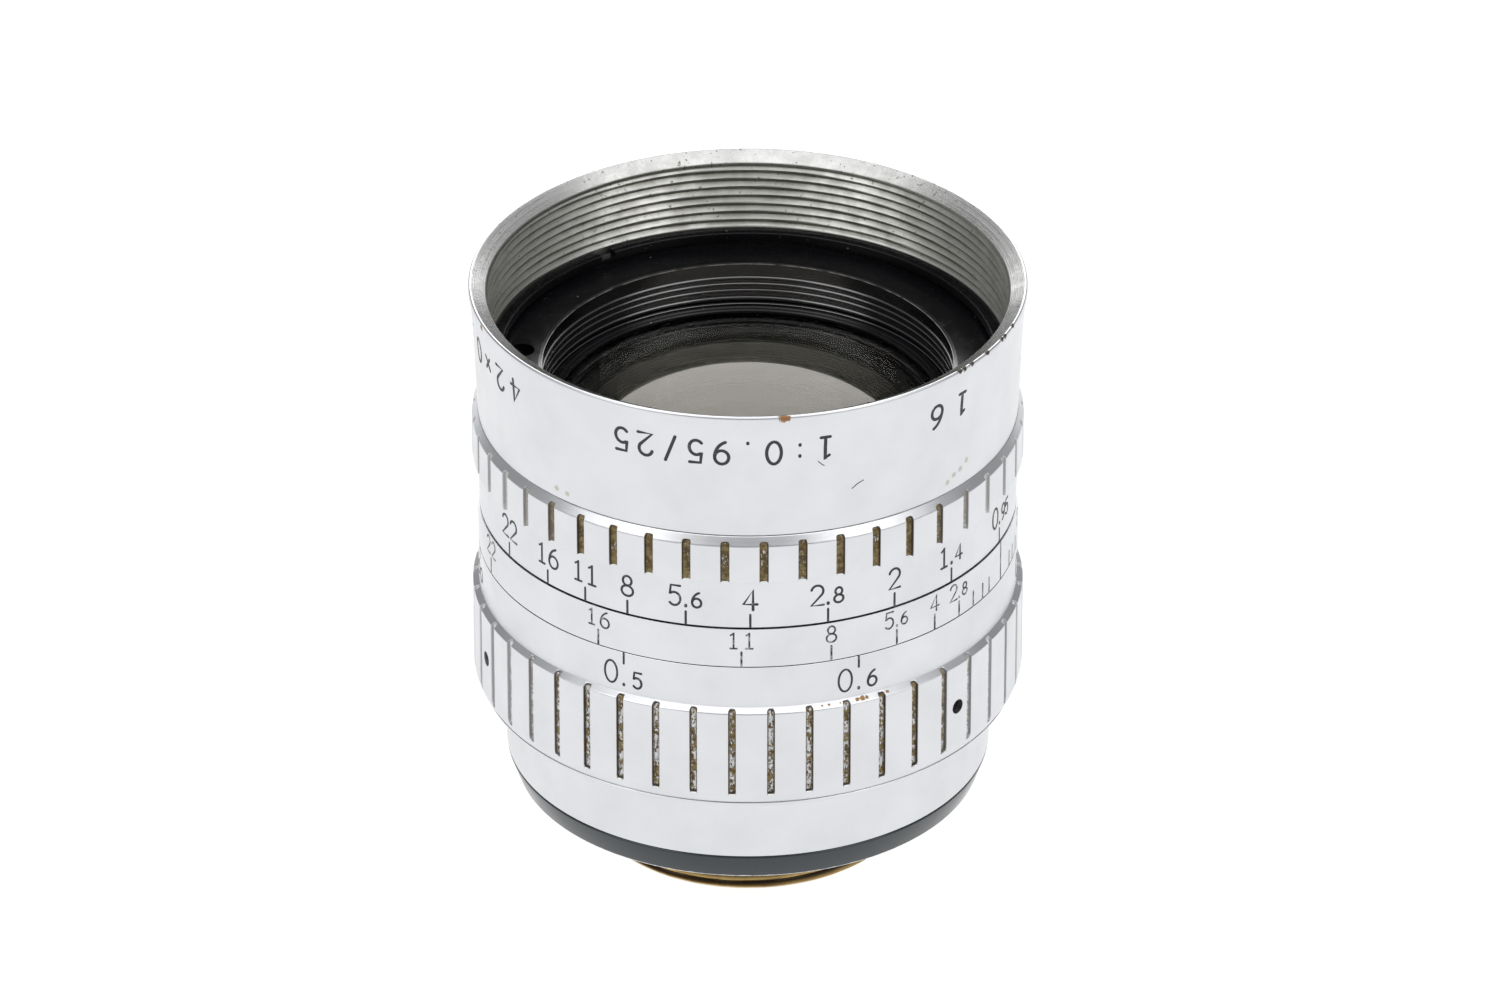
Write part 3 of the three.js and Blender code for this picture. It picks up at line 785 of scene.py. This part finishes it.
def build_focus_ring():
    low, high, radius = FOCUS_KNURL
    first = around(FIRST_FOCUS_FLUTE)
    outline = bevelled(
        [
            (19.75, FOCUS_LOW, 0.1),
            (21.45, FOCUS_LOW, 0.03),
            (21.62, FOCUS_LOW + 0.35, 0.1),
        ]
    )
    outline += [(21.92, 14.35), (22.05, 14.75)]
    outline += rows((radius, low), (radius, low + 0.6), 0.1)
    outline += rows((radius, low + 0.8), (radius, high - 0.8), 0.6)
    outline += rows((radius, high - 0.6), (radius, high - 0.04), 0.1)
    outline += rows((radius - 0.03, high + 0.02), (SCALE_RADIUS, high + 0.36), 0.08)
    outline += [(SCALE_RADIUS, FOCUS_TOP - 0.02), (SCALE_RADIUS - 0.02, FOCUS_TOP)]
    outline += [(19.3, FOCUS_TOP), (19.3, 25.1), (19.75, 25.1)]
    shape = flutes(first, radius, low - 0.1, high + 0.45, FOCUS_FLUTE_WIDTH)
    angles = flute_angles(first, radius, FOCUS_FLUTE_WIDTH)
    copper = (0.34, 0.19, 0.07)
    places = ((15.5, 0.1), (17.0, 0.12), (19.5, 0.1), (23.3, 0.2), (24.4, 0.24), (25.4, 0.18), (30.2, 0.16))
    spots = [(bearing, 22.42, 21.85, size, copper) for bearing, size in places]
    material = satin_aluminium("focus ring satin", flecks=0.8, spots=spots)
    piece = turned("focus_ring_body", outline, material, "focus", angles, shape)
    holes = [
        rod(at(21.4, bearing, SET_SCREW_HEIGHT), at(1, bearing, 0), 0.62, 4)
        for bearing in SET_SCREW_BEARINGS
    ]
    carve(piece, holes)
    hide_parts("focus_ring")

    marks = Engraving(lambda height: SCALE_RADIUS)
    for text in DISTANCES:
        bearing = INFINITY_BEARING - FOCUS_PER_METRE / float(text)
        marks.line([(0, 25.2), (0, FOCUS_TOP - 0.03)], 0.18, bearing)
        if "." in text:
            whole, decimal = text.split(".")
            marks.figure(whole, 2.0, 0.18, bearing, 23.2, -1.15)
            marks.figure(".", 2.0, 0.26, bearing, 23.2)
            marks.figure(decimal, 1.42, 0.2, bearing, 23.2, 1.18)
        else:
            marks.figure(text, 2.0, 0.2, bearing, 23.2)
    marks.line([(0, 25.2), (0, FOCUS_TOP - 0.03)], 0.18, INFINITY_BEARING)
    marks.figure("infinity", 2.0, 0.2, INFINITY_BEARING, 23.2)
    marks.piece("distance_figures", engraving_paint("distance filler", 0.15), "focus", "satin_aluminium")


def build_set_screws():
    material = steel("blackened steel", (0.05, 0.05, 0.055), 0.45)
    outline = [(0, 0), (0.56, 0), (0.56, 1.75), (0.48, 1.85), (0.3, 1.85), (0.3, 1.2), (0, 1.2)]
    points, quads, _ = revolve(outline, evenly(24), closed=False)
    for i, bearing in enumerate(SET_SCREW_BEARINGS):
        turn = at(1, bearing, 0).to_track_quat("Z", "Y")
        start = at(19.72, bearing, SET_SCREW_HEIGHT)
        placed = [start + turn @ Vector(point) for point in points]
        piece = add_piece(f"set_screw_{i + 1}", placed, quads, material, "focus")
        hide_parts(nearest("focus_grub_screw", start))


def nearest(prefix, place):
    """The CAD node of that family that is closest to a place."""

    def distance(name):
        low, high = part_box(name)
        return ((low + high) / 2 - place * MM).length

    return min((name for name in nodes if name.startswith(prefix)), key=distance)


def build_rear_barrel():
    outline = bevelled(
        [
            (15.8, 7.65),
            (19.5, 7.45, 0.08),
            (19.55, 14.6, 0.1),
            (17.4, 14.6),
            (17.4, 18.3, 0.1),
            (15.9, 18.3, 0.1),
            (15.9, 10.15),
            (14.9, 10.15),
            (14.9, 8.95),
            (15.8, 8.95),
        ]
    )
    material = satin_aluminium("rear barrel satin")
    piece = turned("rear_barrel_body", outline, material, "mount")
    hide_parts("rear_barrel")


def build_mount():
    flange = bevelled(
        [
            (13.05, 5.07, 0.05),
            (18.62, 5.07, 0.12),
            (18.78, 5.26, 0.06),
            (19.5, 7.3, 0.12),
            (19.3, 7.42, 0.05),
            (13.05, 7.42),
        ]
    )
    material = black_enamel("flange enamel", 5.2)
    piece = turned("mount_flange_ring", flange, material, "mount")
    holes = [rod(at(SCREW_CIRCLE, bearing, 5.6), (0, 0, 1), 1.42, 2.0) for bearing in MOUNT_SCREW_BEARINGS]
    carve(piece, holes)
    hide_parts("mount_flange")

    outline = [(11.45, 0.12), (11.57, 0), (12.3, 0), (12.45, 0.12)]
    outline += rows((MOUNT_CREST, 0.3), (MOUNT_CREST, 7.6), 0.05)
    outline += [(15.5, 7.65), (15.5, 8.65), (11.45, 8.65)]
    shape = thread(MOUNT_CREST, MOUNT_PITCH, 0.46, 0.1, 5.5)
    piece = turned("mount_thread", outline, brass("aged brass"), "mount", shape=shape, sharp=60)
    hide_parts("c_mount_thread")

    head = steel("bright steel", (0.5, 0.5, 0.5), 0.3)
    outline = [(0, 5.35), (0.9, 5.25), (1.1, 5.4), (1.15, 5.6), (1.15, 6.17)]
    outline += [(0.6, 6.17), (0.6, 10.9), (0, 10.9)]
    for i, bearing in enumerate(MOUNT_SCREW_BEARINGS):
        place = at(SCREW_CIRCLE, bearing, 0)
        points, quads, _ = revolve(outline, evenly(32), closed=False)
        placed = points + np.array([place.x, place.y, 0])
        piece = add_piece(f"mount_screw_head_{i + 1}", placed, quads, head, "mount")
        slot = box_cutter(place + Vector((0, 0, 5.3)), (0.34, 2.6, 0.7), 35 + 40 * i)
        carve(piece, [slot])
        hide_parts(nearest("mount_screw", place + Vector((0, 0, 8))))


def box_cutter(centre, size, turn):
    work = bmesh.new()
    bmesh.ops.create_cube(work, size=1)
    mesh = bpy.data.meshes.new("cutter")
    work.to_mesh(mesh)
    work.free()
    cutter = bpy.data.objects.new("cutter", mesh)
    cutter.scale = [side * MM for side in size]
    cutter.rotation_euler.z = math.radians(turn)
    cutter.location = Vector(centre) * MM
    bpy.context.scene.collection.objects.link(cutter)
    return cutter


# ---------------------------------------------------------------- inside pieces


def build_front_cell():
    groove_levels = (40.18, 39.62, 39.04, 38.35, 37.75)
    face = 41.5
    outline = bevelled([(20.35, 40.15), (20.35, face, 0.08), (16.3, face, 0.1)])
    bore = 16.42
    for level in groove_levels:
        outline.append((bore, level + 0.24))
        outline += curve(bore, level, 0.17, 0.17, 90, 270, 8)
        outline.append((bore, level - 0.24))
    outline += [
        (15.95, 37.5), (15.95, 34.95), (13.95, 34.95), (13.95, 30.9), (12.0, 30.9), (12.0, 29.65),
        (12.45, 29.65), (12.45, 25.9), (15.5, 25.9), (15.5, 34.4), (17.1, 34.4), (17.1, 40.15),
    ]
    material = black_anodised("cell black", 0.2, worn_edge=(16.33, 41.47))
    piece = turned("front_cell_body", outline[::-1], material, "head")
    holes = [rod(at(18.1, bearing, face), (0, 0, 1), 1.0, 1.6) for bearing in (-96.8, 83.2)]
    carve(piece, holes)
    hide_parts("front_cell")

    ring = bevelled([(19.6, 41.8, 0.1), (20.35, 41.8), (20.35, 42.56, 0.08), (19.6, 42.56, 0.1)])
    piece = turned("lock_ring", ring, black_anodised("lock ring black", 0.26), "head")
    notches = [box_cutter(at(20.2, bearing, 42.5), (3, 1.3, 0.7), bearing - 90) for bearing in (215, 35)]
    carve(piece, notches)
    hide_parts("front_lock_ring")

    ring = [(16.05, 37.6), (16.05, 38.0), (15.6, 38.0), (15.5, 37.9)]
    ring += [(15.3, 37.9), (15.2, 37.8), (15.2, 37.6)]
    material = black_anodised("retainer black", 0.22)
    piece = turned("front_element_ring", ring, material, "head")
    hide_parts("front_element_retainer")


def surface(edge_radius, edge_height, bulge, steps=14):
    """Points of a spherical surface from the axis to its edge."""
    if not bulge:
        return [(0, edge_height), (edge_radius, edge_height)]
    sphere = (edge_radius**2 + bulge**2) / (2 * abs(bulge))
    side = math.copysign(1, bulge)
    radii = np.linspace(0, edge_radius, steps + 1)
    return [(r, edge_height + bulge - side * (sphere - math.sqrt(sphere**2 - r * r))) for r in radii]


# Each element's radius, then the edge height and bulge of its rear and of its front surface
ELEMENTS = {
    "lens_1_front_element": (15.75, 35.15, 0.65, 37.1, 3.4),
    "lens_2": (13.75, 31.05, 0.65, 31.85, 3.3),
    "lens_3": (12.25, 28.65, 0, 29.35, 1.95),
    "lens_4": (12.25, 26.5, 1.15, 28.55, 0),
    "lens_5": (11.05, 17.0, 0, 20.4, -2.6),
    "lens_6": (11.05, 14.6, -1.9, 16.9, 0),
    "lens_7": (10.3, 10.3, -1.6, 11.4, 1.0),
    "lens_8_rear_element": (10.3, 4.4, -0.5, 6.3, 1.1),
}


def build_glass():
    bare = optical_glass("bare glass", BARE_GLASS)
    coated = optical_glass("coated glass", COATED_GLASS)
    for node, (radius, rear_edge, rear_bulge, front_edge, front_bulge) in ELEMENTS.items():
        outline = surface(radius, rear_edge, rear_bulge) + surface(radius, front_edge, front_bulge)[::-1]
        piece = turned(f"{node}_polished", outline, coated, "head", closed=False)
        if node == "lens_1_front_element":
            piece.data.materials.append(bare)
            for face in piece.data.polygons:
                face.material_index = int(face.normal.z > 0.5)
        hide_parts(node)


def build_rear_cell():
    outline = bevelled(
        [
            (10.45, 2.0, 0.08), (11.15, 2.0, 0.1), (11.15, 9.95), (13.9, 9.95, 0.2), (13.9, 22.7, 0.2),
            (11.25, 22.7, 0.1), (11.25, 13.9), (9.9, 13.9), (9.9, 12.8), (10.45, 12.8),
        ]
    )
    material = black_anodised("rear cell black")
    piece = turned("rear_cell_body", outline, material, "head")
    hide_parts("rear_cell")
    ring = bevelled([(9.3, 2.4, 0.25), (10.35, 2.4, 0.06), (10.35, 4.1), (9.3, 4.1, 0.1)])
    piece = turned("rear_ring", ring, black_anodised("rear ring black", 0.24), "head")
    notches = [box_cutter(at(10.0, bearing, 2.4), (2.2, 0.9, 0.9), bearing - 90) for bearing in (20, 200)]
    carve(piece, notches)
    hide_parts("rear_retaining_ring")


def finish_cad_nodes():
    """Gives every CAD node that still shows its own procedural metal."""
    finishes = {
        "black_anodised": black_anodised("inner black", 0.4),
        "black_steel": steel("iris steel", (0.12, 0.12, 0.13), 0.34),
        "steel": steel("plain steel"),
        "brass": brass("inner brass"),
        "satin_aluminium": satin_aluminium("inner satin"),
        "black_enamel": black_anodised("inner enamel", 0.25),
        "glass": optical_glass("inner glass", COATED_GLASS),
    }
    slots = {part["node"]: part["material_slot"] for part in frame["record"]["subparts"]}
    for name, node in nodes.items():
        node.data.materials.clear()
        node.data.materials.append(finishes[slots[name]])


# ---------------------------------------------------------------- studio


def build_studio():
    floor_mesh = bpy.data.meshes.new("floor")
    reach = 2.5
    corners = [(-reach, -reach, 0), (reach, -reach, 0), (reach, reach, 0), (-reach, reach, 0)]
    floor_mesh.from_pydata(corners, [], [(0, 1, 2, 3)])
    floor = bpy.data.objects.new("floor", floor_mesh)
    floor.location.z = cad_bounds[0][2]
    bpy.context.scene.collection.objects.link(floor)
    s = Shader("white floor")
    s.set(Base_Color=(0.15, 0.15, 0.15, 1), Roughness=0.9, Specular_IOR_Level=0.0)
    # The floor glows evenly, except for a painted contact shadow: a dim disc under the lens, where it stands.
    glow_with_painted_shadow = s.between(s.vector("LENGTH", s.position()), 10.5, 12.0, 0.1, 0.95)
    s.set(Emission_Color=(1, 1, 1, 1), Emission_Strength=glow_with_painted_shadow)
    floor_mesh.materials.append(s.material)

    world = bpy.data.worlds.new("studio")
    bpy.context.scene.world = world
    world.use_nodes = True
    background = world.node_tree.nodes["Background"]
    background.inputs["Color"].default_value = (0.97, 0.985, 1.0, 1)
    background.inputs["Strength"].default_value = 0.3

    add_softbox("overhead", (0, -0.1, 0.95), (1.2, 1.0), 1.4)
    add_softbox("left", (-0.75, -0.55, 0.75), (0.7, 0.7), 2.0)
    add_softbox("right", (0.75, -0.55, 0.75), (0.7, 0.7), 2.0)
    add_softbox("back", (0, 0.8, 0.66), (0.9, 0.85), 2.2)


def add_softbox(name, place, size, brightness):
    """A rectangular light aimed at the lens. Brightness is its radiance."""
    light = bpy.data.lights.new(name, "AREA")
    light.shape = "RECTANGLE"
    light.size, light.size_y = size
    light.energy = brightness * math.pi * size[0] * size[1]
    box = bpy.data.objects.new(name, light)
    box.location = place
    box.rotation_mode = "QUATERNION"
    box.rotation_quaternion = (Vector((0, 0, 0.025)) - Vector(place)).to_track_quat("-Z", "Y")
    bpy.context.scene.collection.objects.link(box)


def build_camera():
    lens_length = 264.1
    distance = 880.8
    elevation = math.radians(30.06)
    target = Vector((0, 0, 28.97)) * MM
    camera = bpy.data.cameras.new("camera")
    camera.lens = lens_length
    camera.sensor_width = 36
    camera.shift_x = 0.0014
    camera.clip_start = 0.05
    view = bpy.data.objects.new("camera", camera)
    towards = Vector((0, math.cos(elevation), -math.sin(elevation)))
    view.location = target - towards * distance * MM
    view.rotation_mode = "QUATERNION"
    view.rotation_quaternion = towards.to_track_quat("-Z", "Y")
    bpy.context.scene.collection.objects.link(view)
    bpy.context.scene.camera = view
    bpy.context.scene.view_settings.view_transform = "Standard"


build_front_barrel()
build_aperture_ring()
build_depth_ring()
build_focus_ring()
build_set_screws()
build_rear_barrel()
build_mount()
build_front_cell()
build_glass()
build_rear_cell()
finish_cad_nodes()
build_studio()
build_camera()
